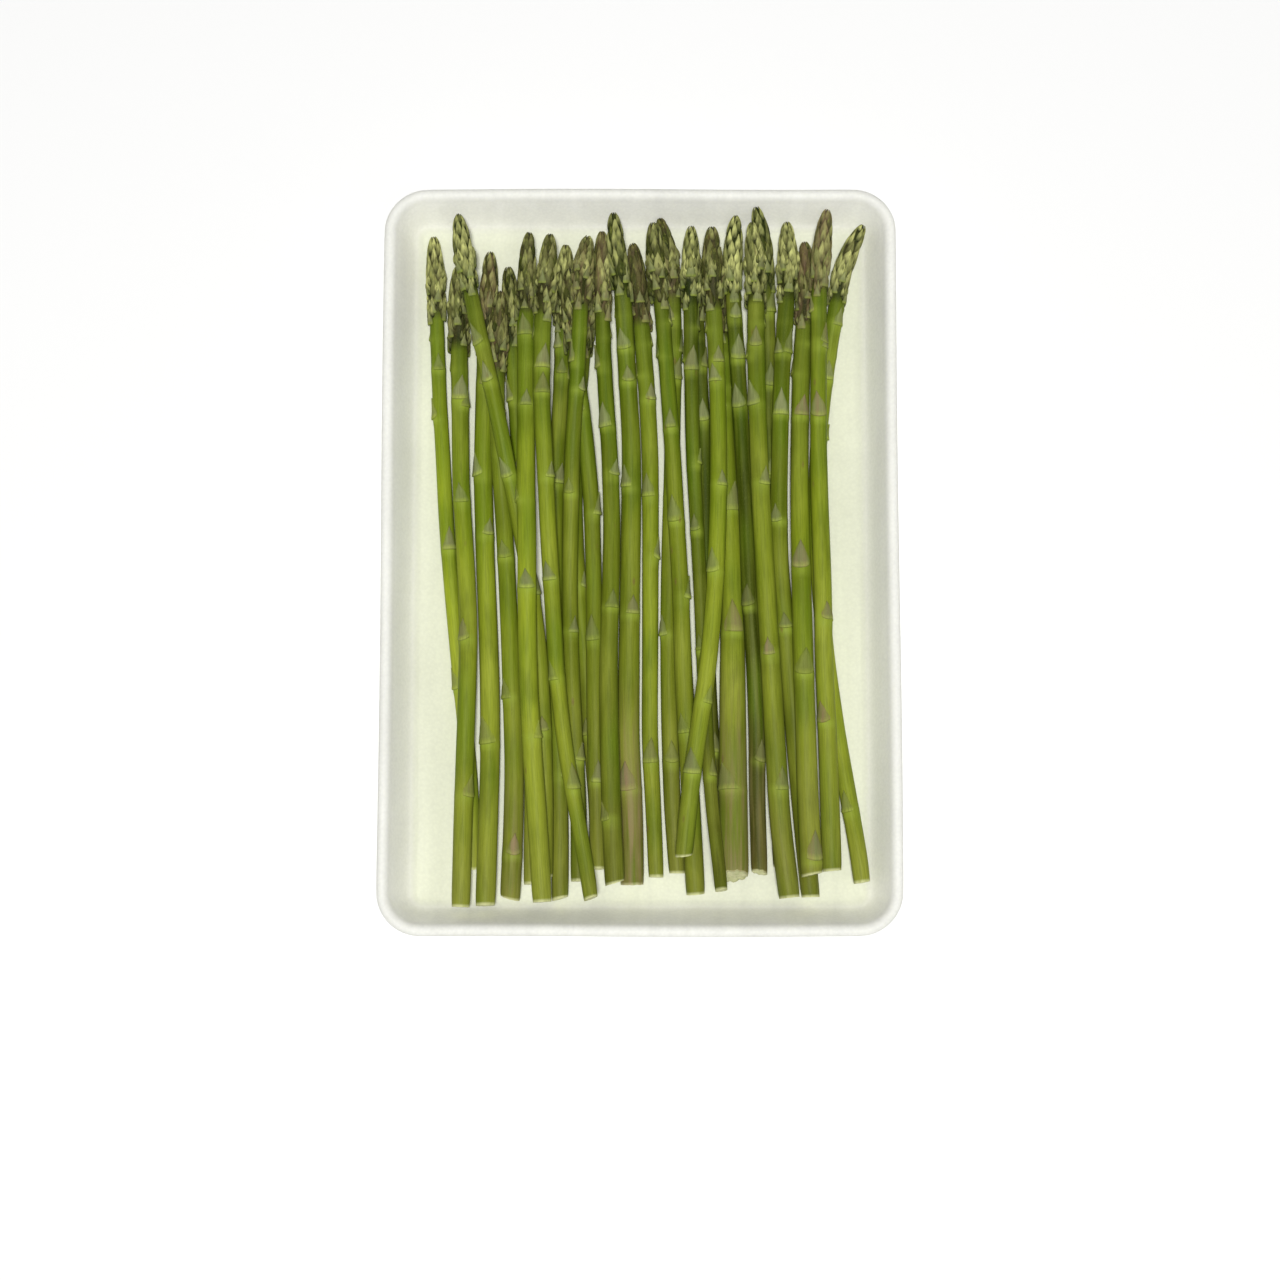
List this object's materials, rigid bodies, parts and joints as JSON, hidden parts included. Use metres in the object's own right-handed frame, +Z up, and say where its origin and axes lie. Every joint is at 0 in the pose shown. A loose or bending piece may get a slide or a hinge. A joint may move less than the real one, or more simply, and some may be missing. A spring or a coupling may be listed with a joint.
{
  "type": "bundle of asparagus",
  "caption": "Bundle of thin green asparagus spears lying loose in a shallow rounded foam tray, all tips to one end.",
  "frame": {"origin": "middle of the tray's underside, on the surface that the tray stands on", "axes": "+Y along the spears towards their tips, +X across the tray, +Z up out of the tray"},
  "size_m": [0.1466, 0.2136, 0.0217],
  "materials": {
    "asparagus": "waxy green plant skin with fine lengthwise lines, purple-brown in places",
    "foam": "off-white expanded foam with a smooth soft skin"
  },
  "bodies": {
    "root": {"foam_tray": "foam", "spear_01": "asparagus", "spear_02": "asparagus", "spear_03": "asparagus", "spear_04": "asparagus", "spear_05": "asparagus", "spear_06": "asparagus", "spear_07": "asparagus", "spear_08": "asparagus", "spear_09": "asparagus", "spear_10": "asparagus", "spear_11": "asparagus", "spear_12": "asparagus", "spear_13": "asparagus", "spear_14": "asparagus", "spear_15": "asparagus", "spear_16": "asparagus", "spear_17": "asparagus", "spear_18": "asparagus", "spear_19": "asparagus", "spear_20": "asparagus", "spear_21": "asparagus", "spear_22": "asparagus", "spear_23": "asparagus", "spear_24": "asparagus", "spear_25": "asparagus", "spear_26": "asparagus", "spear_27": "asparagus", "spear_28": "asparagus"}
  },
  "joints": []
}
